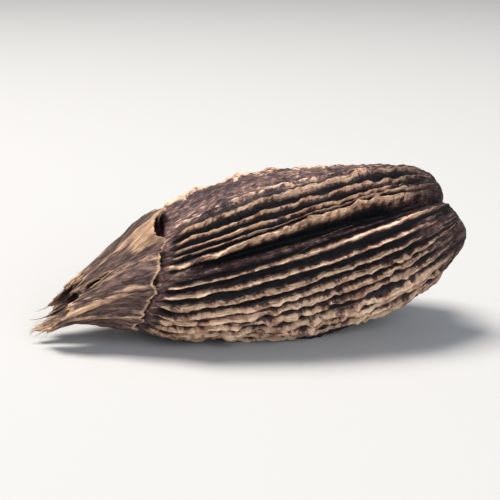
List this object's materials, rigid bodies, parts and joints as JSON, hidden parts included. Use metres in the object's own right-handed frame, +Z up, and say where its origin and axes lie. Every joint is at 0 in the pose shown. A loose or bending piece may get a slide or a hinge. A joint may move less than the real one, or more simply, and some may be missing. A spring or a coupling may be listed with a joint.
{
  "type": "black cardamom pod",
  "caption": "Dried spice pod lying on its side: a ribbed, three-lobed husk with a torn papery calyx at its tip.",
  "frame": {"origin": "the middle of the pod's footprint, on the surface it rests on", "axes": "+X along the pod towards its stalk end, +Y across it, +Z up; the calyx points along -X"},
  "size_m": [0.0352, 0.016, 0.0138],
  "materials": {
    "husk_skin": "matte, fibrous",
    "calyx_paper": "matte, papery"
  },
  "bodies": {
    "root": {"husk": "husk_skin", "calyx": "calyx_paper"}
  },
  "joints": []
}
